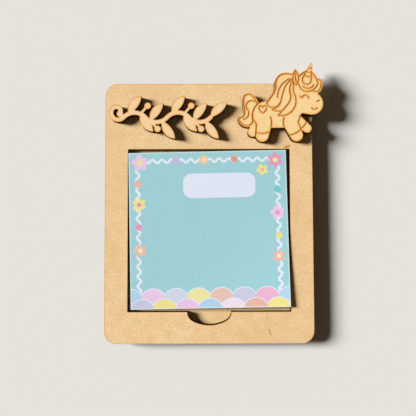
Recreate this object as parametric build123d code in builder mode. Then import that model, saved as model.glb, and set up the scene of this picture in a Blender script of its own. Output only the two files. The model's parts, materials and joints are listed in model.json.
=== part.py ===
"""Sticky note holder: two laser-cut boards that form a shallow well for a note pad, with two glued-on ornaments.

Millimetres. +Z is up, out of the boards' faces, and +Y runs to the headboard. The origin is the middle of
the underside, where the holder lies on the desk.
"""

from build123d import *
from math import acos, atan2, cos, degrees, radians, sin, sqrt
import os

# Note pad
NOTE_WIDTH = 76.0
NOTE_HEIGHT = 75.0
NOTE_THICKNESS = 0.1
NOTE_COUNT = 30
LINER_THICKNESS = 0.1
PAD_TURN_DEG = 1.1
PAD_SHIFT_X = -0.1
PAD_SHIFT_Y = 0.34

# Curl of the upper notes, which rise towards the lower right corner of the pad
CURLED_NOTES = 6
CURL_REACH = 52.0
CURL_LIFT = 1.6
CURL_FALL_POWER = 1.5
TOP_NOTE_AIR = 0.05

# Boards
BASE_THICKNESS = 3.0
FRAME_THICKNESS = 3.0
PAD_SIDE_CLEARANCE = 1.0
PAD_END_CLEARANCE = 1.5
SIDE_RIM = 11.0
BOTTOM_RIM = 15.0
HEADBOARD = 32.0
CORNER_RADIUS = 6.0
NOTCH_WIDTH = 21.0
NOTCH_DEPTH = 6.3
NOTCH_SIDE_RADIUS_SHARE = 0.79

# Ornaments, and the laser's engraved lines
ORNAMENT_THICKNESS = 3.0
ENGRAVING_WIDTH = 0.55
ENGRAVING_DEPTH = 0.2
ENGRAVING_MARGIN = 0.7

# Vine on the left of the headboard
VINE_MARGIN = 1.4
VINE_GAP = 5.0
VINE_RISE = 14.8
VINE_WAVES = 4
VINE_SWING = 2.3
STEM_WIDTH = 2.2
TENDRIL_RADIUS = 3.4
TENDRIL_TIP_RADIUS = 2.2
TENDRIL_TURN_DEG = 170
TENDRIL_TIP_TURN_DEG = 180
LEAF_LENGTH = 10.6
LEAF_WIDTH = 4.3
LEAF_BOW_SHARE = 0.64
LEAF_LEAN_DEG = 54
END_LEAF_DEG = 42
STALK_WIDTH = 1.3
STALK_LENGTH = 5.2
STALK_LEAN_DEG = 48
BERRY_RADIUS = 1.6
BUD_SHARES = (0.25, 0.75)

# Unicorn plaque over the right corner of the headboard
UNICORN_WIDTH = 41.0
UNICORN_HEIGHT = 38.0
UNICORN_OVERHANG = 4.8
UNICORN_RISE = 2.9

# Unicorn's forms, each from a disc to a disc: a place as shares of width and height, a radius of the width
FAR_LEG_SHARES = [
    [(0.245, 0.23, 0.07), (0.175, 0.125, 0.058)],
    [(0.7, 0.27, 0.062), (0.81, 0.17, 0.052)],
]
TORSO_SHARES = [
    [(0.335, 0.345, 0.158), (0.575, 0.345, 0.155)],
    [(0.6, 0.4, 0.14), (0.7, 0.55, 0.15)],
    [(0.75, 0.56, 0.18), (0.868, 0.485, 0.132)],
    [(0.315, 0.27, 0.092), (0.285, 0.08, 0.075)],
    [(0.605, 0.27, 0.09), (0.685, 0.085, 0.075)],
]
HORN_SHARES = [(0.812, 0.785, 0.052), (0.868, 0.985, 0.0145)]
FORELOCK_END_SHARES = [(0.92, 0.688, 0.05), (0.947, 0.75, 0.036)]

# Unicorn's hair and ear: a root, then each side's heading in degrees and its places as shares, up to the tip
TAIL_SHARES = (
    (0.24, 0.45),
    (100, [(0.164, 0.59), (0.074, 0.544), (0.086, 0.39), (0.016, 0.3)]),
    (200, [(0.188, 0.4), (0.176, 0.29), (0.102, 0.205), (0.016, 0.3)]),
)
MANE_SHARES = [
    (
        (0.69, 0.83),
        (150, [(0.55, 0.862), (0.452, 0.74), (0.408, 0.59), (0.34, 0.485)]),
        (200, [(0.555, 0.66), (0.49, 0.48), (0.34, 0.485)]),
    ),
    (
        (0.68, 0.8),
        (190, [(0.555, 0.69), (0.51, 0.52), (0.405, 0.41)]),
        (215, [(0.62, 0.6), (0.575, 0.425), (0.405, 0.41)]),
    ),
    (
        (0.68, 0.8),
        (210, [(0.62, 0.64), (0.59, 0.48), (0.475, 0.335)]),
        (240, [(0.67, 0.6), (0.645, 0.4), (0.475, 0.335)]),
    ),
]
FORELOCK_SHARES = (
    (0.7, 0.8),
    (55, [(0.79, 0.885), (0.885, 0.865), (0.945, 0.745)]),
    (-80, [(0.735, 0.69), (0.83, 0.638), (0.945, 0.745)]),
)
EAR_SHARES = (
    (0.685, 0.72),
    (128, [(0.68, 0.905)]),
    (48, [(0.68, 0.905)]),
)

# Unicorn's single engraved lines: three places on each arc, as shares
FACE_SHARES = [
    [(0.757, 0.555), (0.795, 0.592), (0.832, 0.553)],
    [(0.76, 0.565), (0.744, 0.567), (0.73, 0.58)],
    [(0.868, 0.432), (0.896, 0.41), (0.928, 0.43)],
    [(0.93, 0.51), (0.943, 0.522), (0.956, 0.526)],
]
LEG_LINE_SHARES = [
    [(0.214, 0.122), (0.285, 0.105), (0.357, 0.122)],
    [(0.602, 0.083), (0.674, 0.108), (0.745, 0.163)],
    [(0.735, 0.165), (0.774, 0.203), (0.797, 0.246)],
    [(0.388, 0.19), (0.397, 0.25), (0.383, 0.315)],
    [(0.545, 0.19), (0.532, 0.245), (0.545, 0.305)],
]
HEART_SHARES = [
    [(0.295, 0.434), (0.272, 0.456), (0.252, 0.422)],
    [(0.252, 0.422), (0.266, 0.39), (0.295, 0.366)],
    [(0.295, 0.434), (0.318, 0.456), (0.338, 0.422)],
    [(0.338, 0.422), (0.324, 0.39), (0.295, 0.366)],
]
HORN_LINE_SHARES = [
    [(0.79, 0.848), (0.828, 0.827), (0.868, 0.835)],
    [(0.815, 0.9), (0.842, 0.881), (0.872, 0.887)],
    [(0.836, 0.946), (0.856, 0.932), (0.877, 0.938)],
]
HAIR_LINE_SHARES = [
    [(0.689, 0.765), (0.681, 0.815), (0.682, 0.862)],
    [(0.208, 0.505), (0.13, 0.51), (0.125, 0.4)],
    [(0.125, 0.4), (0.118, 0.318), (0.07, 0.285)],
    [(0.61, 0.8), (0.51, 0.71), (0.468, 0.565)],
    [(0.77, 0.705), (0.832, 0.677), (0.893, 0.72)],
]

# One overrun serves all cuts
OVERRUN = 1.0

# Sizes and places that follow from the driving ones
WINDOW_WIDTH = NOTE_WIDTH + 2 * PAD_SIDE_CLEARANCE
WINDOW_HEIGHT = NOTE_HEIGHT + 2 * PAD_END_CLEARANCE
BOARD_WIDTH = WINDOW_WIDTH + 2 * SIDE_RIM
BOARD_HEIGHT = WINDOW_HEIGHT + BOTTOM_RIM + HEADBOARD
WINDOW_Y = (BOTTOM_RIM - HEADBOARD) / 2
WINDOW_TOP = WINDOW_Y + WINDOW_HEIGHT / 2
WINDOW_FOOT = WINDOW_Y - WINDOW_HEIGHT / 2
FRAME_TOP = BASE_THICKNESS + FRAME_THICKNESS

os.makedirs("parts", exist_ok=True)


def save(piece, name):
    """Labels a finished piece and writes it as its own node."""
    piece.part.label = name
    export_step(piece.part, f"parts/{name}.step")


# Base board, the floor of the well
with BuildPart() as base_board:
    with BuildSketch():
        RectangleRounded(BOARD_WIDTH, BOARD_HEIGHT, CORNER_RADIUS)
    extrude(amount=BASE_THICKNESS)
save(base_board, "base_board")


def thumb_notch():
    """A bowl of three arcs below the window: a tight one at each side and a wide one along the floor."""
    side_radius = NOTCH_SIDE_RADIUS_SHARE * NOTCH_DEPTH
    side_x = NOTCH_WIDTH / 2 - side_radius
    past_side = NOTCH_DEPTH - side_radius
    floor_rise = (side_x**2 - past_side**2) / (2 * past_side)
    turn_deg = degrees(atan2(floor_rise, side_x))
    with BuildSketch() as notch:
        with BuildLine():
            left = CenterArc((-side_x, WINDOW_FOOT), side_radius, 180, turn_deg)
            CenterArc((0, WINDOW_FOOT + floor_rise), NOTCH_DEPTH + floor_rise, 180 + turn_deg, 180 - 2 * turn_deg)
            right = CenterArc((side_x, WINDOW_FOOT), side_radius, -turn_deg, turn_deg)
            mouth = WINDOW_FOOT + OVERRUN
            Polyline(left @ 0, (-NOTCH_WIDTH / 2, mouth), (NOTCH_WIDTH / 2, mouth), right @ 1)
        make_face()
    return notch.sketch


# Front frame, with the pad's window and the thumb notch at its lower edge
with BuildPart() as front_frame:
    with BuildSketch(Plane.XY.offset(BASE_THICKNESS)):
        RectangleRounded(BOARD_WIDTH, BOARD_HEIGHT, CORNER_RADIUS)
        with Locations((0, WINDOW_Y)):
            Rectangle(WINDOW_WIDTH, WINDOW_HEIGHT, mode=Mode.SUBTRACT)
        add(thumb_notch(), mode=Mode.SUBTRACT)
    extrude(amount=FRAME_THICKNESS)
save(front_frame, "front_frame")


# Note pad: a release liner under a stack of notes
def pad_plane(level):
    """The pad's own plane, turned a little in the well, at a height."""
    turn = radians(PAD_TURN_DEG)
    return Plane((PAD_SHIFT_X, WINDOW_Y + PAD_SHIFT_Y, level), (cos(turn), sin(turn), 0), (0, 0, 1))


def curl_plane(level):
    """An upright plane along the pad's diagonal, with its origin where the curl starts."""
    flat = pad_plane(level)
    towards_corner = (flat.x_dir - flat.y_dir).normalized()
    corner = flat.from_local_coords((NOTE_WIDTH / 2, -NOTE_HEIGHT / 2, 0))
    return Plane(corner - towards_corner * CURL_REACH, towards_corner, towards_corner.cross(Vector(0, 0, 1)))


def make_note(name, level, lift):
    """One sheet on a level. Its lower right corner rises by the lift along an arc."""
    diagonal = sqrt(NOTE_WIDTH**2 + NOTE_HEIGHT**2)
    with BuildPart() as note:
        with BuildSketch(pad_plane(level)):
            Rectangle(NOTE_WIDTH, NOTE_HEIGHT)
        if lift:
            extrude(amount=lift + NOTE_THICKNESS + OVERRUN)
            radius = (CURL_REACH**2 + lift**2) / (2 * lift)
            arc_deg = degrees(acos(1 - lift / radius)) + degrees(OVERRUN / radius)
            with BuildSketch(curl_plane(level)):
                with BuildLine():
                    under = JernArc((0, 0), (1, 0), radius, arc_deg)
                    over = JernArc((0, NOTE_THICKNESS), (1, 0), radius - NOTE_THICKNESS, arc_deg)
                    Line(under @ 1, over @ 1)
                    Polyline(under @ 0, (-diagonal, 0), (-diagonal, NOTE_THICKNESS), over @ 0)
                make_face()
            extrude(amount=diagonal, both=True, mode=Mode.INTERSECT)
        else:
            extrude(amount=NOTE_THICKNESS)
    save(note, name)


with BuildPart() as release_liner:
    with BuildSketch(pad_plane(BASE_THICKNESS)):
        Rectangle(NOTE_WIDTH, NOTE_HEIGHT)
    extrude(amount=LINER_THICKNESS)
save(release_liner, "release_liner")

for below_top in range(NOTE_COUNT):
    notes_under = NOTE_COUNT - 1 - below_top
    air = TOP_NOTE_AIR if below_top == 0 else 0
    level_share = max(0, 1 - below_top / CURLED_NOTES)
    make_note(
        f"note_{below_top + 1:02d}",
        BASE_THICKNESS + LINER_THICKNESS + notes_under * NOTE_THICKNESS + air,
        CURL_LIFT * level_share**CURL_FALL_POWER,
    )


# Vine ornament: a waving stem with leaves on both sides, a berry outside each bend and a curled tendril
def away(place, distance, heading_deg):
    """A place at a distance, in a direction."""
    heading = radians(heading_deg)
    return (place.X + distance * cos(heading), place.Y + distance * sin(heading))


def leaf(root, heading_deg, side):
    """A pointed leaf that grows from its root and bows towards one side."""
    tip = away(root, LEAF_LENGTH, heading_deg)
    bow_share = LEAF_BOW_SHARE if side > 0 else 1 - LEAF_BOW_SHARE
    with BuildSketch() as blade:
        with BuildLine():
            SagittaArc(root, tip, bow_share * LEAF_WIDTH)
            SagittaArc(tip, root, (1 - bow_share) * LEAF_WIDTH)
        make_face()
    return blade.sketch


def berry(root, heading_deg):
    """A berry on its stalk."""
    place = away(root, STALK_LENGTH, heading_deg)
    with BuildLine() as stalk:
        Line(root, place)
    with BuildSketch() as sprig:
        SlotArc(stalk.edge(), STALK_WIDTH)
        with Locations(place):
            Circle(BERRY_RADIUS)
    return sprig.sketch


unicorn_left = BOARD_WIDTH / 2 + UNICORN_OVERHANG - UNICORN_WIDTH
stem_left = -BOARD_WIDTH / 2 + VINE_MARGIN + 2 * TENDRIL_RADIUS + STEM_WIDTH / 2
stem_right = unicorn_left - VINE_GAP - LEAF_LENGTH * cos(radians(END_LEAF_DEG))
wave = (stem_right - stem_left) / VINE_WAVES

with BuildLine() as stem:
    for count in range(VINE_WAVES):
        start = stem_left + count * wave
        SagittaArc((start, 0), (start + wave, 0), VINE_SWING if count % 2 == 0 else -VINE_SWING)
half_waves = stem.edges().sort_by(Axis.X)
with BuildLine() as tendril:
    bend = JernArc(half_waves[0] @ 0, -(half_waves[0] % 0), TENDRIL_RADIUS, -TENDRIL_TURN_DEG)
    tip = JernArc(bend @ 1, bend % 1, TENDRIL_TIP_RADIUS, -TENDRIL_TIP_TURN_DEG)

with BuildPart() as vine_ornament:
    with BuildSketch(Plane((0, WINDOW_TOP + VINE_RISE, FRAME_TOP))):
        SlotArc(stem.wire(), STEM_WIDTH)
        SlotArc(tendril.wire(), STEM_WIDTH)
        with Locations(tip @ 1):
            Circle(BERRY_RADIUS)
        for count, half_wave in enumerate(half_waves):
            outside = 1 if count % 2 == 0 else -1
            for side, share in zip((1, -1), BUD_SHARES):
                bud = half_wave @ share
                add(leaf(bud, side * LEAF_LEAN_DEG, side))
                if side != outside:
                    add(berry(bud, outside * STALK_LEAN_DEG))
        add(leaf(half_waves[-1] @ 1, END_LEAF_DEG, 1))
    extrude(amount=ORNAMENT_THICKNESS)
save(vine_ornament, "vine_ornament")


# Unicorn plaque: a cut-out figure with its inner lines engraved in the face
def spot(share):
    """A place on the plaque, measured from its lower left corner."""
    return (share[0] * UNICORN_WIDTH, share[1] * UNICORN_HEIGHT)


def limb(disc_shares):
    """A rounded form with a disc at each end and straight sides that touch both."""
    start_share, end_share = disc_shares
    start = Vector(*spot(start_share))
    end = Vector(*spot(end_share))
    start_radius = start_share[2] * UNICORN_WIDTH
    end_radius = end_share[2] * UNICORN_WIDTH
    axis = end - start
    axis_deg = degrees(atan2(axis.Y, axis.X))
    side_deg = degrees(acos((start_radius - end_radius) / axis.length))
    with BuildSketch() as form:
        with BuildLine():
            start_round = CenterArc(start, start_radius, axis_deg + side_deg, 360 - 2 * side_deg)
            end_round = CenterArc(end, end_radius, axis_deg - side_deg, 2 * side_deg)
            Line(start_round @ 1, end_round @ 0)
            Line(end_round @ 1, start_round @ 0)
        make_face()
    return form.sketch


def draw_side(place, heading_deg, place_shares):
    """Arcs that run on smoothly from one place to the next."""
    heading = (cos(radians(heading_deg)), sin(radians(heading_deg)))
    for share in place_shares:
        arc = TangentArc(place, spot(share), tangent=heading)
        heading = arc % 1
        place = arc @ 1


def lock(lock_shares):
    """A lock of hair, or an ear, between two sides that meet at its root and its tip."""
    root_share, *sides = lock_shares
    with BuildSketch() as form:
        with BuildLine():
            for heading_deg, place_shares in sides:
                draw_side(spot(root_share), heading_deg, place_shares)
        make_face()
    return form.sketch


def joined(*forms):
    """One outline round several forms."""
    with BuildSketch() as whole:
        for form in forms:
            add(form)
    return whole.sketch


def wider(form):
    """A form's cut outline, which leaves a margin outside its engraved edge."""
    return offset(form, amount=ENGRAVING_MARGIN, mode=Mode.PRIVATE)


def edge_line(form, ground):
    """The engraved line along a form's edge, where it lies on the ground."""
    with BuildSketch() as line:
        offset(form, amount=ENGRAVING_WIDTH / 2)
        add(offset(form, amount=-ENGRAVING_WIDTH / 2, mode=Mode.PRIVATE), mode=Mode.SUBTRACT)
        add(ground, mode=Mode.INTERSECT)
    return line.sketch


def stroke(arc_shares):
    """A single engraved line along an arc through three places."""
    with BuildLine() as path:
        ThreePointArc(*[spot(share) for share in arc_shares])
    with BuildSketch() as line:
        SlotArc(path.edge(), ENGRAVING_WIDTH)
    return line.sketch


tail = lock(TAIL_SHARES)
far_legs = [limb(disc_shares) for disc_shares in FAR_LEG_SHARES]
torso = joined(*[limb(disc_shares) for disc_shares in TORSO_SHARES])
hair = [*[lock(lock_shares) for lock_shares in MANE_SHARES], limb(FORELOCK_END_SHARES), lock(FORELOCK_SHARES)]
forms_and_margins = [
    (torso, False),
    *[(form, True) for form in hair],
    (limb(HORN_SHARES), False),
    (lock(EAR_SHARES), True),
]

# From the back to the front, each form hides the lines under it
figure = joined(wider(tail), *far_legs)
with BuildSketch() as engraving:
    add(edge_line(tail, figure))
    for form, has_margin in forms_and_margins:
        if has_margin:
            figure = joined(figure, wider(form))
        add(form, mode=Mode.SUBTRACT)
        add(edge_line(form, figure))
        figure = joined(figure, form)
    for arc_shares in [*FACE_SHARES, *HEART_SHARES, *LEG_LINE_SHARES, *HORN_LINE_SHARES, *HAIR_LINE_SHARES]:
        add(stroke(arc_shares))

unicorn_plane = Plane((unicorn_left, WINDOW_TOP + UNICORN_RISE, FRAME_TOP))
with BuildPart() as unicorn_plaque:
    with BuildSketch(unicorn_plane):
        add(figure)
    extrude(amount=ORNAMENT_THICKNESS)
    with BuildSketch(unicorn_plane.offset(ORNAMENT_THICKNESS)):
        add(engraving.sketch)
    extrude(amount=-ENGRAVING_DEPTH, mode=Mode.SUBTRACT)
save(unicorn_plaque, "unicorn_plaque")
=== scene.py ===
"""Sticky note holder of raw laser-cut fibreboard, lying on a pale table with a printed note pad in its well.

Metres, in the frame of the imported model: +Z is up out of the boards' faces and +Y runs to the headboard.
"""

import json
from math import atan2, cos, pi, radians, sin, sqrt

import bpy
from mathutils import Matrix, Vector


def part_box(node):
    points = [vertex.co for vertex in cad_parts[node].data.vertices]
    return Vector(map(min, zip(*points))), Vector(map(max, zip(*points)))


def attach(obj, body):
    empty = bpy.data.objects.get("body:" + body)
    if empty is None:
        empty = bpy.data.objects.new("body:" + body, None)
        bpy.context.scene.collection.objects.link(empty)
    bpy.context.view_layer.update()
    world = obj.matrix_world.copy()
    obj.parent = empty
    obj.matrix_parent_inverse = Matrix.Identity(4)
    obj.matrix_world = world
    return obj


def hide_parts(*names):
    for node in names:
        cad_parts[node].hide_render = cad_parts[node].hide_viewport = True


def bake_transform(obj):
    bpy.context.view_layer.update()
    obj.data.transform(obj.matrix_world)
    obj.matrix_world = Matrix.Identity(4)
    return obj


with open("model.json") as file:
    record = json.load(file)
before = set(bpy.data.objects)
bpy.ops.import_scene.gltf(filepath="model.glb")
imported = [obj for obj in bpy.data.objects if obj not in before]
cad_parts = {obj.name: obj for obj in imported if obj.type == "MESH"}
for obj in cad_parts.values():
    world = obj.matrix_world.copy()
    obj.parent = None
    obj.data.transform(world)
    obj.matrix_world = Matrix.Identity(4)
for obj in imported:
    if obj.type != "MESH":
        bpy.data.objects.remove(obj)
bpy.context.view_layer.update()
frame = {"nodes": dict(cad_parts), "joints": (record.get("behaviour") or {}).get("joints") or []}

# Base board and front frame
# Two sheets of 3 mm medium density fibreboard, cut by a laser on one outline and glued face to face.
# The frame's window and thumb notch make the well. The beam chars the walls and leaves the faces raw.
MM = 0.001
BOARD_MM = 3.0
BOARD_FACE = "#FBDEB3"
BOARD_FIBRE = "#E3BB83"
BOARD_FLECK = "#A67A48"
TOASTED = "#EFA341"
SCORCH_AND_SHADE = "#8E5520"
CHAR_DARK = "#0F0805"
CHAR_BROWN = "#332014"
MDF_ROUGHNESS = 0.85
MDF_GLOSS = 0.07
MDF_RELIEF_MM = 0.1
# Fibres are a fifth as wide, and drawn this coarse so that they show
FIBRE_MM = 1.0
FLECK_MM = 1.7
CLOUD_MM = 24.0
PATCH_MM = 5.0
# Cover of each pattern: noise where it starts, noise where it is full, share of the face it takes there
FIBRE_COVER = (0.36, 0.68, 1.0)
CLOUD_COVER = (0.35, 0.65, 0.45)
PATCH_COVER = (0.42, 0.66, 0.42)
FLECK_COVER = (0.68, 0.77, 0.5)
# Char in streaks that run down the wall
CHAR_STREAK_MM = 0.8
CHAR_STRETCH = (1.0, 1.0, 0.06)
CHAR_RISE_SHARE = 0.35
CHAR_COVER = (0.4, 0.95)
# Toasting of the cut edges: share of the colour and reach into the face
BASE_TOAST = (0.3, 0.8)
FRAME_TOAST = (0.42, 1.1)
TOAST_FADE = (0.3, 0.6, 0.5)
# Dark band at each cut edge: real scorch, drawn darker to also paint the shade next to the walls
SCORCH_AND_SHADE_SHARE = 0.7
SCORCH_AND_SHADE_MM = 0.5
# Likeness of a rounded normal to the true one: on the open face, and where an edge's colour is full
OPEN_LIKENESS = 0.999
TOAST_LIKENESS = 0.94
SCORCH_AND_SHADE_LIKENESS = 0.78
# Slopes flatter than this are faces, and the rest are walls
FACE_LIKENESS = 0.5
FLOOR_SLACK_MM = 0.05
# Handling marks on the frame's face: both ends in millimetres, width, share of the mark's colour, colour
FRAME_MARKS = [
    ((28.2, -55.7), (29.3, -58.4), 0.45, 0.9, "#4B3220"),
    ((28.0, 62.0), (27.9, 57.9), 0.4, 0.5, "#8C7350"),
    ((15.6, 56.2), (15.7, 47.8), 0.4, 0.45, "#8C7350"),
    ((37.2, 31.3), (38.7, 31.9), 2.2, 0.75, "#B9712B"),
    ((-21.0, -57.4), (-18.2, -57.9), 0.4, 0.35, "#9C7040"),
]


def linear(hex_colour):
    """A hex colour as linear red, green, blue and alpha."""
    shares = [int(hex_colour[start:start + 2], 16) / 255 for start in (1, 3, 5)]
    curved = [share / 12.92 if share <= 0.04045 else ((share + 0.055) / 1.055) ** 2.4 for share in shares]
    return (*curved, 1.0)


def node(tree, kind, inputs=None, **settings):
    """Adds a node. Each input is a plain value or another node's output."""
    made = tree.nodes.new("ShaderNode" + kind)
    for name, value in settings.items():
        setattr(made, name, value)
    for socket, value in (inputs or {}).items():
        if isinstance(value, bpy.types.NodeSocket):
            tree.links.new(value, made.inputs[socket])
        else:
            made.inputs[socket].default_value = value
    return made


def start_material(name, roughness, gloss):
    """An empty material with its node tree, its shader and its Object coordinates in millimetres."""
    material = bpy.data.materials.new(name)
    material.use_nodes = True
    tree = material.node_tree
    shader = tree.nodes["Principled BSDF"]
    shader.inputs["Roughness"].default_value = roughness
    shader.inputs["Specular IOR Level"].default_value = gloss
    place = node(tree, "TexCoord").outputs["Object"]
    place_mm = node(tree, "VectorMath", {0: place, "Scale": 1 / MM}, operation="SCALE").outputs[0]
    return material, tree, shader, place_mm


def stack(tree, ground, layers):
    """Lays colours over a ground, each by the share of it that covers."""
    for share, colour in layers:
        ground = node(tree, "Mix", {0: share, 6: ground, 7: colour}, data_type="RGBA").outputs[2]
    return ground


def mark_share(tree, place_mm, start, end, width, strength):
    """How far a soft stroke between two places covers the face."""
    along = Vector((end[0] - start[0], end[1] - start[1], 0))
    flat = node(tree, "VectorMath", {0: place_mm, 1: (1, 1, 0)}, operation="MULTIPLY").outputs[0]
    from_start = node(tree, "VectorMath", {0: flat, 1: (*start, 0)}, operation="SUBTRACT").outputs[0]
    per_length = along / along.length_squared
    reach = node(tree, "VectorMath", {0: from_start, 1: per_length}, operation="DOT_PRODUCT").outputs["Value"]
    reach = node(tree, "Clamp", {0: reach}).outputs[0]
    foot = node(tree, "VectorMath", {0: along, "Scale": reach}, operation="SCALE").outputs[0]
    off = node(tree, "VectorMath", {0: from_start, 1: foot}, operation="DISTANCE").outputs["Value"]
    return node(tree, "MapRange", {0: off, 1: width / 2, 2: width / 8, 3: 0.0, 4: strength}).outputs[0]


def near_edge(tree, normal, reach_mm, full_likeness, strength):
    """How near a place is to a cut edge: there the rounded normal leaves the true one."""
    rounded = node(tree, "Bevel", {"Radius": reach_mm * MM}, samples=8).outputs[0]
    likeness = node(tree, "VectorMath", {0: rounded, 1: normal}, operation="DOT_PRODUCT").outputs["Value"]
    return node(tree, "MapRange", {0: likeness, 1: OPEN_LIKENESS, 2: full_likeness, 4: strength}).outputs[0]


def laser_cut_mdf(name, face_hex, fibre_hex, toast_share, toast_mm, marks=(), groove=None):
    """Raw fibreboard: matt felted fibre on the faces, streaked char on the walls, toasted along the edges.

    A groove holds the height of its floor in millimetres and its colour, then its halo's colour, reach,
    likeness and share.
    """
    material, tree, shader, place_mm = start_material(name, MDF_ROUGHNESS, MDF_GLOSS)
    height = node(tree, "SeparateXYZ", {0: place_mm}).outputs["Z"]
    normal = node(tree, "NewGeometry").outputs["Normal"]
    fibre = node(
        tree, "TexNoise", {"Vector": place_mm, "Scale": 1 / FIBRE_MM, "Detail": 4.0, "Roughness": 0.7}
    ).outputs[0]
    fleck = node(
        tree, "TexNoise", {"Vector": place_mm, "Scale": 1 / FLECK_MM, "Detail": 2.0, "Distortion": 1.5}
    ).outputs[0]
    cloud = node(tree, "TexNoise", {"Vector": place_mm, "Scale": 1 / CLOUD_MM, "Detail": 3.0}).outputs[0]
    patch = node(tree, "TexNoise", {"Vector": place_mm, "Scale": 1 / PATCH_MM, "Detail": 3.0}).outputs[0]
    patterns = [
        (fibre, FIBRE_COVER, fibre_hex),
        (cloud, CLOUD_COVER, fibre_hex),
        (patch, PATCH_COVER, fibre_hex),
        (fleck, FLECK_COVER, BOARD_FLECK),
    ]
    face_layers = []
    for pattern, (start, full, most), colour_hex in patterns:
        share = node(tree, "MapRange", {0: pattern, 1: start, 2: full, 4: most}).outputs[0]
        face_layers.append((share, linear(colour_hex)))
    for *stroke, colour_hex in marks:
        face_layers.append((mark_share(tree, place_mm, *stroke), linear(colour_hex)))
    # Toasting comes and goes along an edge, and the edge itself is scorched, drawn darker as painted shade
    # next to the cut walls
    start, full, least = TOAST_FADE
    patchy = node(tree, "MapRange", {0: patch, 1: start, 2: full, 3: least}).outputs[0]
    toasted = near_edge(tree, normal, toast_mm, TOAST_LIKENESS, toast_share)
    toasted = node(tree, "Math", {0: toasted, 1: patchy}, operation="MULTIPLY").outputs[0]
    scorch_and_shade = near_edge(tree, normal, SCORCH_AND_SHADE_MM, SCORCH_AND_SHADE_LIKENESS, SCORCH_AND_SHADE_SHARE)
    face_layers += [(toasted, linear(TOASTED)), (scorch_and_shade, linear(SCORCH_AND_SHADE))]
    # Char runs down the beam in streaks and is blackest where the beam left each board
    drawn_out = node(tree, "VectorMath", {0: place_mm, 1: CHAR_STRETCH}, operation="MULTIPLY").outputs[0]
    streaks = node(
        tree, "TexNoise", {"Vector": drawn_out, "Scale": 1 / CHAR_STREAK_MM, "Detail": 3.0}
    ).outputs[0]
    level = node(tree, "Math", {0: height, 1: BOARD_MM}, operation="DIVIDE").outputs[0]
    level = node(tree, "Math", {0: level}, operation="FRACT").outputs[0]
    browned = node(
        tree, "Math", {0: level, 1: CHAR_RISE_SHARE, 2: streaks}, operation="MULTIPLY_ADD"
    ).outputs[0]
    start, full = CHAR_COVER
    browned = node(tree, "MapRange", {0: browned, 1: start, 2: full}).outputs[0]
    wall_layers = [(browned, linear(CHAR_BROWN))]
    if groove:
        floor_mm, line_hex, halo_hex, *halo_edge = groove
        halo = near_edge(tree, normal, *halo_edge)
        in_face = node(
            tree, "Math", {0: height, 1: floor_mm, 2: FLOOR_SLACK_MM}, operation="COMPARE"
        ).outputs[0]
        in_wall = node(tree, "Math", {0: height, 1: floor_mm}, operation="GREATER_THAN").outputs[0]
        face_layers += [(halo, linear(halo_hex)), (in_face, linear(line_hex))]
        wall_layers.append((in_wall, linear(line_hex)))
    face = stack(tree, linear(face_hex), face_layers)
    wall = stack(tree, linear(CHAR_DARK), wall_layers)
    upright = node(tree, "SeparateXYZ", {0: normal}).outputs["Z"]
    flat = node(tree, "Math", {0: upright}, operation="ABSOLUTE").outputs[0]
    is_face = node(tree, "Math", {0: flat, 1: FACE_LIKENESS}, operation="GREATER_THAN").outputs[0]
    tree.links.new(stack(tree, wall, [(is_face, face)]), shader.inputs["Base Color"])
    relief = node(tree, "Mix", {0: is_face, 2: streaks, 3: fibre}).outputs[0]
    bump = node(tree, "Bump", {"Height": relief, "Strength": 0.3, "Distance": MDF_RELIEF_MM * MM})
    tree.links.new(bump.outputs[0], shader.inputs["Normal"])
    return material


def dress(name, material):
    """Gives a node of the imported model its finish."""
    materials = frame["nodes"][name].data.materials
    materials.clear()
    materials.append(material)


dress("base_board", laser_cut_mdf("raw_mdf_base", BOARD_FACE, BOARD_FIBRE, *BASE_TOAST))
dress("front_frame", laser_cut_mdf("raw_mdf_frame", BOARD_FACE, BOARD_FIBRE, *FRAME_TOAST, FRAME_MARKS))

# Vine ornament
# A leafy vine cut from the same 3 mm fibreboard and glued to the left of the headboard.
# Its narrow strokes took more heat than the frame, so the edges of its face are browned.
VINE_FACE = "#FDE0B5"
VINE_FIBRE = "#EFC992"
VINE_TOAST = (0.8, 1.6)
dress("vine_ornament", laser_cut_mdf("raw_mdf_vine", VINE_FACE, VINE_FIBRE, *VINE_TOAST))

# Unicorn plaque
# A cut-out figure of 3 mm fibreboard, glued over the corner of the headboard so that its head stands clear.
# The laser drew the inner lines at low power, which leaves shallow grooves of golden brown.
UNICORN_FACE = "#FCE1AD"
UNICORN_FIBRE = "#F6CE8C"
ENGRAVED = "#DA923C"
HALO = "#E6A03C"
HALO_MM = 0.8
HALO_LIKENESS = 0.985
HALO_SHARE = 0.62
GROOVE_MM = 0.2
UNICORN_TOAST = (0.72, 1.8)
groove_floor_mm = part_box("unicorn_plaque")[1].z / MM - GROOVE_MM
engraved_line = (groove_floor_mm, ENGRAVED, HALO, HALO_MM, HALO_LIKENESS, HALO_SHARE)
unicorn_mdf = laser_cut_mdf(
    "raw_mdf_unicorn", UNICORN_FACE, UNICORN_FIBRE, *UNICORN_TOAST, groove=engraved_line
)
dress("unicorn_plaque", unicorn_mdf)

# Lower notes and release liner
# The block of the pad: matt paper sheets gummed along one edge, on a waxed backing sheet.
# Only their cut edges show: a pale stripe of fine layers, toned with painted shade of the gaps between
# sheets.
NOTE_EDGE_GAP_SHADED = "#97ABB3"
NOTE_EDGE_GAP_SHADE = "#74959F"
LINER_EDGE = "#BCB9B0"
LINER_EDGE_SHADE = "#A39F92"
CUT_ROUGHNESS = 0.75
CUT_GLOSS = 0.25
CUT_RELIEF_MM = 0.05
# Sheets are 0.1 mm thick, and drawn three to a layer so that they show
LAYER_MM = 0.3
LAYER_STRETCH = (0.05, 0.05, 1.0)
LAYER_COVER = (0.35, 0.65)


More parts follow.
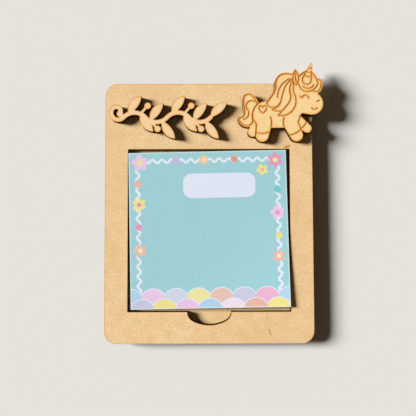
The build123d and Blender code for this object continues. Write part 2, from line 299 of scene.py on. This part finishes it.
def cut_paper(name, light_hex, gap_shade_hex):
    """Stacked edges of matt paper, left a little furry by the guillotine, with painted shade between the
    sheets.
    """
    material, tree, shader, place_mm = start_material(name, CUT_ROUGHNESS, CUT_GLOSS)
    drawn_out = node(tree, "VectorMath", {0: place_mm, 1: LAYER_STRETCH}, operation="MULTIPLY").outputs[0]
    layers = node(tree, "TexNoise", {"Vector": drawn_out, "Scale": 1 / LAYER_MM, "Detail": 2.0}).outputs[0]
    start, full = LAYER_COVER
    share = node(tree, "MapRange", {0: layers, 1: start, 2: full}).outputs[0]
    # The darker layers are painted shade in the gaps between the sheets
    tree.links.new(stack(tree, linear(light_hex), [(share, linear(gap_shade_hex))]), shader.inputs["Base Color"])
    bump = node(tree, "Bump", {"Height": layers, "Strength": 0.3, "Distance": CUT_RELIEF_MM * MM})
    tree.links.new(bump.outputs[0], shader.inputs["Normal"])
    return material


note_edge_gap_shaded = cut_paper("cut_note_paper_gap_shade", NOTE_EDGE_GAP_SHADED, NOTE_EDGE_GAP_SHADE)
note_names = sorted(name for name in frame["nodes"] if name.startswith("note_"))
for note_name in note_names:
    dress(note_name, note_edge_gap_shaded)
dress("release_liner", cut_paper("waxed_liner_paper", LINER_EDGE, LINER_EDGE_SHADE))

# Upper notes
# The last sheets of the pad, which curl up at the lower right corner, the top one most.
# Their faces are printed in pastel inks on a teal ground. Their backs are plain, with a strip of gum.
SHEET_TEAL = "#A4D3DA"
SHEET_SHADE = "#98CBD3"
INK_WHITE = "#E1E9F5"
LABEL_INK = "#DFE6F6"
SHEET_BACK = "#DDEBEA"
GUM = "#C4D8D8"
GUM_MM = 13.0
CURL_REACH_MM = 52.0
PRINT_ROUGHNESS = 0.85
PRINT_GLOSS = 0.06
BACK_ROUGHNESS = 0.7
BACK_GLOSS = 0.3
GUM_ROUGHNESS = 0.45
# Paper fibres are finer, and drawn this coarse so that they show
PAPER_GRAIN_MM = 0.8
PAPER_CLOUD_MM = 15.0
GRAIN_COVER = (0.35, 0.7)
BACK_GRAIN_SHARE = 0.35
COCKLE_MM = 0.5
COCKLE_GRAIN_SHARE = 0.12
BACK_RELIEF_MM = 0.1
PRINT_EDGE_MM = 0.15
# The ink stops short of the trimmed edges, and the pale rim also paints a highlight along the sheet's edges
MARGIN_HIGHLIGHT_MM = 0.7
PALE_MARGIN_HIGHLIGHT = "#DCEFEC"
MARGIN_HIGHLIGHT_SHARE = 0.9
# Waving braid along three edges
BRAID_INSET_MM = 4.3
BRAID_SWING_MM = 0.75
BRAID_WAVE_MM = 4.6
BRAID_WIDTH_MM = 1.35
# Blank label for a heading
LABEL_CENTRE_MM = (5.5, 21.0)
LABEL_HALF_MM = (17.5, 6.0)
LABEL_ROUND_MM = 4.2
# Two rows of scallops along the lower edge: shift in pitches, rise of the centres, inks
SCALLOP_RADIUS_MM = 6.6
SCALLOP_RIM_MM = 0.4
SCALLOP_ROWS = [
    (0.5, 3.4, ["#B4D2E8", "#E8CBE9", "#CFD6E8", "#EAE3A2", "#E4C0B6", "#C6CAE2", "#E9B3CF"]),
    (0.0, -1.6, ["#C6CAE2", "#EAE08E", "#E8C4E7", "#AFD0E8", "#E9DDE9", "#E4B5A8", "#ECE08F"]),
]
# Daisies and dots: place across and up, radius, petals, ink, ink of the heart
PETAL_SHARE = 0.4
HEART_SHARE = 0.33
DAISIES_MM = [
    (-32.6, 32.6, 4.2, 5, "#E9C7E8", "#ECE393"),
    (-33.6, 22.4, 1.9, 0, "#E7B9AB", "#E7B9AB"),
    (-33.2, 12.4, 3.5, 6, "#ECE393", "#E59BC0"),
    (-33.6, 1.6, 1.6, 0, "#E59BC0", "#E59BC0"),
    (-33.0, -9.6, 3.4, 5, "#E8C0AE", "#F2EBC4"),
    (32.8, 32.8, 3.9, 6, "#E59BC0", "#ECE393"),
    (26.4, 28.2, 2.9, 5, "#ECE38F", "#E7B9AB"),
    (33.6, 18.6, 1.8, 0, "#7CC6CF", "#7CC6CF"),
    (33.2, 7.4, 3.6, 5, "#E9C7E8", "#E59BC0"),
    (33.6, -3.6, 1.7, 0, "#EAE08E", "#EAE08E"),
    (33.2, -13.4, 3.2, 6, "#E7B9AB", "#F2EBC4"),
    (-15.2, 33.4, 1.9, 0, "#C9B9E2", "#C9B9E2"),
    (-1.6, 33.6, 2.6, 5, "#EFC9A0", "#F2EBC4"),
    (13.0, 33.6, 1.7, 0, "#DE9C90", "#DE9C90"),
]

bottom_note = note_names[-1]
sheet_low, sheet_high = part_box(bottom_note)
sheet_thickness = sheet_high.z - sheet_low.z
pad_centre = (sheet_low + sheet_high) / 2
peel = next(joint for joint in frame["joints"] if joint["name"] == "note_peel")
pad_turn = atan2(-peel["axis"][1], -peel["axis"][0])
# Each side of a turned sheet's box holds a share of both its width and its height
box_wide = sheet_high.x - sheet_low.x
box_tall = sheet_high.y - sheet_low.y
sheet_width = (box_wide * cos(pad_turn) - box_tall * sin(pad_turn)) / cos(2 * pad_turn)
sheet_height = (box_tall * cos(pad_turn) - box_wide * sin(pad_turn)) / cos(2 * pad_turn)
sheet_place = Matrix.Translation((pad_centre.x, pad_centre.y, 0)) @ Matrix.Rotation(pad_turn, 4, "Z")
half_width_mm = sheet_width / MM / 2
half_height_mm = sheet_height / MM / 2


def braid_share(tree, along, across, middle, start, end):
    """Where the waving braid covers the sheet: its middle line, and both its ends along the line."""
    phase = node(tree, "Math", {0: along, 1: 2 * pi / BRAID_WAVE_MM}, operation="MULTIPLY").outputs[0]
    sway = node(tree, "Math", {0: phase}, operation="SINE").outputs[0]
    line = node(tree, "Math", {0: sway, 1: BRAID_SWING_MM, 2: middle}, operation="MULTIPLY_ADD").outputs[0]
    off = node(tree, "Math", {0: across, 1: line}, operation="SUBTRACT").outputs[0]
    # A slope makes the gap across longer than the gap square to the braid
    steepest = 2 * pi * BRAID_SWING_MM / BRAID_WAVE_MM
    slope = node(tree, "Math", {0: phase}, operation="COSINE").outputs[0]
    slope = node(tree, "Math", {0: slope, 1: steepest}, operation="MULTIPLY").outputs[0]
    steep = node(tree, "Math", {0: slope, 1: slope, 2: 1.0}, operation="MULTIPLY_ADD").outputs[0]
    shrink = node(tree, "Math", {0: steep}, operation="INVERSE_SQRT").outputs[0]
    off = node(tree, "Math", {0: off, 1: shrink}, operation="MULTIPLY").outputs[0]
    off = node(tree, "Math", {0: off}, operation="ABSOLUTE").outputs[0]
    edge = BRAID_WIDTH_MM / 2
    share = node(tree, "MapRange", {0: off, 1: edge, 2: edge - PRINT_EDGE_MM}).outputs[0]
    after = node(tree, "Math", {0: along, 1: start}, operation="GREATER_THAN").outputs[0]
    before = node(tree, "Math", {0: along, 1: end}, operation="LESS_THAN").outputs[0]
    share = node(tree, "Math", {0: share, 1: after}, operation="MULTIPLY").outputs[0]
    return node(tree, "Math", {0: share, 1: before}, operation="MULTIPLY").outputs[0]


def label_share(tree, spot):
    """Where the label covers the sheet: a box with round corners."""
    off = node(tree, "VectorMath", {0: spot, 1: (*LABEL_CENTRE_MM, 0)}, operation="SUBTRACT").outputs[0]
    off = node(tree, "VectorMath", {0: off}, operation="ABSOLUTE").outputs[0]
    core = (LABEL_HALF_MM[0] - LABEL_ROUND_MM, LABEL_HALF_MM[1] - LABEL_ROUND_MM, 0)
    off = node(tree, "VectorMath", {0: off, 1: core}, operation="SUBTRACT").outputs[0]
    off = node(tree, "VectorMath", {0: off, 1: (0, 0, 0)}, operation="MAXIMUM").outputs[0]
    off = node(tree, "VectorMath", {0: off}, operation="LENGTH").outputs["Value"]
    return node(tree, "MapRange", {0: off, 1: LABEL_ROUND_MM, 2: LABEL_ROUND_MM - PRINT_EDGE_MM}).outputs[0]


def scallop_layers(tree, across, up, shift, rise, inks):
    """One row of scallops, each a round of ink inside a pale rim."""
    count = len(inks)
    pitch = 2 * half_width_mm / count
    first = count / 2 + shift
    place = node(tree, "Math", {0: across, 1: 1 / pitch, 2: first}, operation="MULTIPLY_ADD").outputs[0]
    within = node(tree, "Math", {0: place}, operation="FRACT").outputs[0]
    aside = node(tree, "Math", {0: within, 1: pitch, 2: -pitch / 2}, operation="MULTIPLY_ADD").outputs[0]
    above = node(tree, "Math", {0: up, 1: half_height_mm - rise}, operation="ADD").outputs[0]
    off = node(tree, "CombineXYZ", {0: aside, 1: above}).outputs[0]
    off = node(tree, "VectorMath", {0: off}, operation="LENGTH").outputs["Value"]
    # Under its centre a scallop runs straight down
    column = node(tree, "Math", {0: above, 1: 0.0}, operation="LESS_THAN").outputs[0]
    rim_share = node(
        tree, "MapRange", {0: off, 1: SCALLOP_RADIUS_MM, 2: SCALLOP_RADIUS_MM - PRINT_EDGE_MM}
    ).outputs[0]
    rim_share = node(tree, "Math", {0: rim_share, 1: column}, operation="MAXIMUM").outputs[0]
    inner = SCALLOP_RADIUS_MM - SCALLOP_RIM_MM
    ink_share = node(tree, "MapRange", {0: off, 1: inner, 2: inner - PRINT_EDGE_MM}).outputs[0]
    ink_share = node(tree, "Math", {0: ink_share, 1: column}, operation="MAXIMUM").outputs[0]
    turn = node(tree, "Math", {0: place, 1: count}, operation="DIVIDE").outputs[0]
    turn = node(tree, "Math", {0: turn}, operation="FRACT").outputs[0]
    ramp = node(tree, "ValToRGB", {0: turn})
    ramp.color_ramp.interpolation = "CONSTANT"
    for index, ink in enumerate(inks):
        stops = ramp.color_ramp.elements
        stop = stops[index] if index < len(stops) else stops.new(index / count)
        stop.position = index / count
        stop.color = linear(ink)
    return [(rim_share, linear(INK_WHITE)), (ink_share, ramp.outputs[0])]


def daisy_layers(tree, spot, across, up, radius, petals, ink, heart_ink):
    """One daisy with its heart, or a plain dot where it has no petals."""
    off = node(tree, "VectorMath", {0: spot, 1: (across, up, 0)}, operation="SUBTRACT").outputs[0]
    away = node(tree, "VectorMath", {0: off}, operation="LENGTH").outputs["Value"]
    edge = radius
    if petals:
        off_x, off_y, _ = node(tree, "SeparateXYZ", {0: off}).outputs
        lobe = node(tree, "Math", {0: off_y, 1: off_x}, operation="ARCTAN2").outputs[0]
        # Each daisy is turned by an angle of its own
        lobe = node(tree, "Math", {0: lobe, 1: petals / 2, 2: across}, operation="MULTIPLY_ADD").outputs[0]
        lobe = node(tree, "Math", {0: lobe}, operation="COSINE").outputs[0]
        lobe = node(tree, "Math", {0: lobe}, operation="ABSOLUTE").outputs[0]
        petal = PETAL_SHARE * radius
        edge = node(tree, "Math", {0: lobe, 1: petal, 2: radius - petal}, operation="MULTIPLY_ADD").outputs[0]
    inside = node(tree, "Math", {0: edge, 1: away}, operation="SUBTRACT").outputs[0]
    heart = HEART_SHARE * radius
    return [
        (node(tree, "MapRange", {0: inside, 1: 0.0, 2: PRINT_EDGE_MM}).outputs[0], linear(ink)),
        (node(tree, "MapRange", {0: away, 1: heart, 2: heart - PRINT_EDGE_MM}).outputs[0], linear(heart_ink)),
    ]


def sheet_spot(tree):
    """A place on a sheet in millimetres from its middle, with its parts across and up."""
    uv = node(tree, "UVMap", uv_map="UVMap").outputs[0]
    from_middle = node(tree, "VectorMath", {0: uv, 1: (0.5, 0.5, 0)}, operation="SUBTRACT").outputs[0]
    sides = (2 * half_width_mm, 2 * half_height_mm, 0)
    spot = node(tree, "VectorMath", {0: from_middle, 1: sides}, operation="MULTIPLY").outputs[0]
    across, up, _ = node(tree, "SeparateXYZ", {0: spot}).outputs
    return spot, across, up


def printed_paper():
    """Uncoated paper, matt and faintly cockled, under flat pastel inks."""
    material, tree, shader, _ = start_material("printed_note_paper", PRINT_ROUGHNESS, PRINT_GLOSS)
    spot, across, up = sheet_spot(tree)
    grain = node(tree, "TexNoise", {"Vector": spot, "Scale": 1 / PAPER_GRAIN_MM, "Detail": 4.0}).outputs[0]
    cloud = node(tree, "TexNoise", {"Vector": spot, "Scale": 1 / PAPER_CLOUD_MM, "Detail": 2.0}).outputs[0]
    start, full = GRAIN_COVER
    fibre = node(tree, "MapRange", {0: grain, 1: start, 2: full}).outputs[0]
    side = node(tree, "Math", {0: across}, operation="ABSOLUTE").outputs[0]
    braid_side = half_width_mm - BRAID_INSET_MM
    braid_top = half_height_mm - BRAID_INSET_MM
    layers = [
        (fibre, linear(SHEET_SHADE)),
        (braid_share(tree, across, up, braid_top, -braid_side, braid_side), linear(INK_WHITE)),
        (braid_share(tree, up, side, braid_side, -half_height_mm, braid_top), linear(INK_WHITE)),
        (label_share(tree, spot), linear(LABEL_INK)),
    ]
    for row in SCALLOP_ROWS:
        layers += scallop_layers(tree, across, up, *row)
    for daisy in DAISIES_MM:
        layers += daisy_layers(tree, spot, *daisy)
    # A pale rim along all four edges: unprinted margin and a painted highlight of the sheet's edges
    rise = node(tree, "Math", {0: up}, operation="ABSOLUTE").outputs[0]
    past_side = node(tree, "Math", {0: side, 1: half_width_mm}, operation="SUBTRACT").outputs[0]
    past_end = node(tree, "Math", {0: rise, 1: half_height_mm}, operation="SUBTRACT").outputs[0]
    outward = node(tree, "Math", {0: past_side, 1: past_end}, operation="MAXIMUM").outputs[0]
    margin_and_highlight = node(tree, "MapRange", {0: outward, 1: -MARGIN_HIGHLIGHT_MM, 2: 0.0, 4: MARGIN_HIGHLIGHT_SHARE}).outputs[0]
    layers.append((margin_and_highlight, linear(PALE_MARGIN_HIGHLIGHT)))
    tree.links.new(stack(tree, linear(SHEET_TEAL), layers), shader.inputs["Base Color"])
    cockle = node(
        tree, "Math", {0: grain, 1: COCKLE_GRAIN_SHARE, 2: cloud}, operation="MULTIPLY_ADD"
    ).outputs[0]
    bump = node(tree, "Bump", {"Height": cockle, "Strength": 0.2, "Distance": COCKLE_MM * MM})
    tree.links.new(bump.outputs[0], shader.inputs["Normal"])
    return material


def plain_back():
    """The unprinted back of a note, matt, with its satin strip of gum along the upper edge."""
    material, tree, shader, _ = start_material("gummed_note_back", BACK_ROUGHNESS, BACK_GLOSS)
    spot, _, up = sheet_spot(tree)
    grain = node(tree, "TexNoise", {"Vector": spot, "Scale": 1 / PAPER_GRAIN_MM, "Detail": 4.0}).outputs[0]
    start, full = GRAIN_COVER
    fibre = node(tree, "MapRange", {0: grain, 1: start, 2: full, 4: BACK_GRAIN_SHARE}).outputs[0]
    gum_edge = half_height_mm - GUM_MM
    gum = node(tree, "MapRange", {0: up, 1: gum_edge, 2: gum_edge + PRINT_EDGE_MM}).outputs[0]
    back = stack(tree, linear(SHEET_BACK), [(fibre, linear(SHEET_TEAL)), (gum, linear(GUM))])
    tree.links.new(back, shader.inputs["Base Color"])
    satin = node(tree, "MapRange", {0: gum, 3: BACK_ROUGHNESS, 4: GUM_ROUGHNESS}).outputs[0]
    tree.links.new(satin, shader.inputs["Roughness"])
    bump = node(tree, "Bump", {"Height": grain, "Strength": 0.1, "Distance": BACK_RELIEF_MM * MM})
    tree.links.new(bump.outputs[0], shader.inputs["Normal"])
    return material


SHEET_CELLS = 38
TOP_SHEET_CELLS = 76
SMOOTH_DEG = 30
sheet_finishes = [printed_paper(), plain_back(), note_edge_gap_shaded]
curl_reach = CURL_REACH_MM * MM


def make_sheet(name, cells):
    """A curled sheet in place of its plain solid: a fine grid, bent up along an arc at one corner."""
    low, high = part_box(name)
    lift = high.z - low.z - sheet_thickness
    bend = (curl_reach**2 + lift**2) / (2 * lift)
    bpy.ops.object.select_all(action="DESELECT")
    bpy.ops.mesh.primitive_grid_add(x_subdivisions=cells, y_subdivisions=cells, size=1)
    sheet = bpy.context.object
    sheet.name = "curled_" + name
    to_corner = (sheet_width + sheet_height) / 2
    for vertex in sheet.data.vertices:
        across = vertex.co.x * sheet_width
        up = vertex.co.y * sheet_height
        past_start = (across - up - to_corner) / sqrt(2) + curl_reach
        rise = bend - sqrt(bend**2 - max(past_start, 0.0) ** 2)
        vertex.co = sheet_place @ Vector((across, up, low.z + rise))
    for finish in sheet_finishes:
        sheet.data.materials.append(finish)
    thick = sheet.modifiers.new("thickness", "SOLIDIFY")
    thick.thickness = sheet_thickness
    thick.offset = 1.0
    thick.material_offset = 1
    thick.material_offset_rim = 2
    bpy.ops.object.modifier_apply(modifier=thick.name)
    bpy.ops.object.shade_smooth_by_angle(angle=radians(SMOOTH_DEG))
    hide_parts(name)
    return sheet


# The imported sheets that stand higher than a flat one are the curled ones, from the top down
FLAT_SLACK = 1.5
curled_names = []
for note_name in note_names:
    note_low, note_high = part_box(note_name)
    if note_high.z - note_low.z > FLAT_SLACK * sheet_thickness:
        curled_names.append(note_name)
for note_name in curled_names[1:]:
    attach(make_sheet(note_name, SHEET_CELLS), "pad")

# The top note stays stuck along its gum and bends just below it
top_note = make_sheet(curled_names[0], TOP_SHEET_CELLS)
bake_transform(top_note)

# Table
# A plain pale laminate top under the holder, matt and seamless, so that only the soft shadow shows on it.
# It is large enough to fill every view and lies a hair below the base board.
TABLE_SIDE_MM = 6000.0
TABLE_CELLS = 8
TABLE_DROP_MM = 0.02
TABLE_COLOUR = "#E6E4E0"
TABLE_ROUGHNESS = 1.0
TABLE_GLOSS = 0.0
table_place = (0, 0, -TABLE_DROP_MM * MM)
bpy.ops.object.select_all(action="DESELECT")
bpy.ops.mesh.primitive_grid_add(
    x_subdivisions=TABLE_CELLS, y_subdivisions=TABLE_CELLS, size=TABLE_SIDE_MM * MM, location=table_place
)
table = bpy.context.object
table.name = "pale_table"
table_laminate, _, table_shader, _ = start_material("pale_table_laminate", TABLE_ROUGHNESS, TABLE_GLOSS)
table_shader.inputs["Base Color"].default_value = linear(TABLE_COLOUR)
table.data.materials.append(table_laminate)

# Light
# A broad key light low on the left, far off so that it is even, and a dim warm sky that fills the shadows.
# The camera sees a pale backdrop in place of the dim sky.
SKY_COLOUR = "#FFDDB4"
SKY_STRENGTH = 0.06
BACKDROP_COLOUR = "#F1F0EE"
BACKDROP_STRENGTH = 0.86
KEY_STRENGTH = 7.0
KEY_WIDTH_DEG = 18.0
KEY_FROM = (-0.888, 0.18, 0.42)
world = bpy.data.worlds.new("studio")
bpy.context.scene.world = world
world.use_nodes = True
sky = world.node_tree.nodes["Background"]
ray = node(world.node_tree, "LightPath")
seen = ray.outputs["Is Camera Ray"]
for kind in ("Is Glossy Ray", "Is Transmission Ray"):
    seen = node(world.node_tree, "Math", {0: seen, 1: ray.outputs[kind]}, operation="MAXIMUM").outputs[0]
strength = node(world.node_tree, "MapRange", {0: seen, 3: SKY_STRENGTH, 4: BACKDROP_STRENGTH}).outputs[0]
world.node_tree.links.new(strength, sky.inputs["Strength"])
colour = stack(world.node_tree, linear(SKY_COLOUR), [(seen, linear(BACKDROP_COLOUR))])
world.node_tree.links.new(colour, sky.inputs["Color"])
lamp_data = bpy.data.lights.new("key_light", "SUN")
lamp_data.angle = radians(KEY_WIDTH_DEG)
lamp_data.energy = KEY_STRENGTH
lamp = bpy.data.objects.new("key_light", lamp_data)
bpy.context.scene.collection.objects.link(lamp)
lamp.rotation_euler = (-Vector(KEY_FROM)).to_track_quat("-Z", "Y").to_euler()

# Camera
# It looks almost straight down at the holder from about 200 mm, as the photograph does, so the boards'
# walls open a little towards the edges of the picture. The picture is square.
IMAGE_PX = 416
FOCAL_PX = 408
SENSOR_MM = 36.0
NEAREST_MM = 10.0
CAMERA_MM = (-1.01, -5.52, 202.05)
CAMERA_TURN_DEG = (-2.204, 0.153, 0.166)
camera_data = bpy.data.cameras.new("camera")
camera_data.sensor_width = SENSOR_MM
camera_data.lens = FOCAL_PX / IMAGE_PX * SENSOR_MM
camera_data.clip_start = NEAREST_MM * MM
camera = bpy.data.objects.new("camera", camera_data)
bpy.context.scene.collection.objects.link(camera)
world_to_camera = Matrix.Identity(4)
for axis, turn_deg in zip("XYZ", CAMERA_TURN_DEG):
    world_to_camera = world_to_camera @ Matrix.Rotation(radians(turn_deg), 4, axis)
camera.matrix_world = Matrix.Translation(Vector(CAMERA_MM) * MM) @ world_to_camera.transposed()
bpy.context.scene.camera = camera
bpy.context.scene.view_settings.view_transform = "Standard"
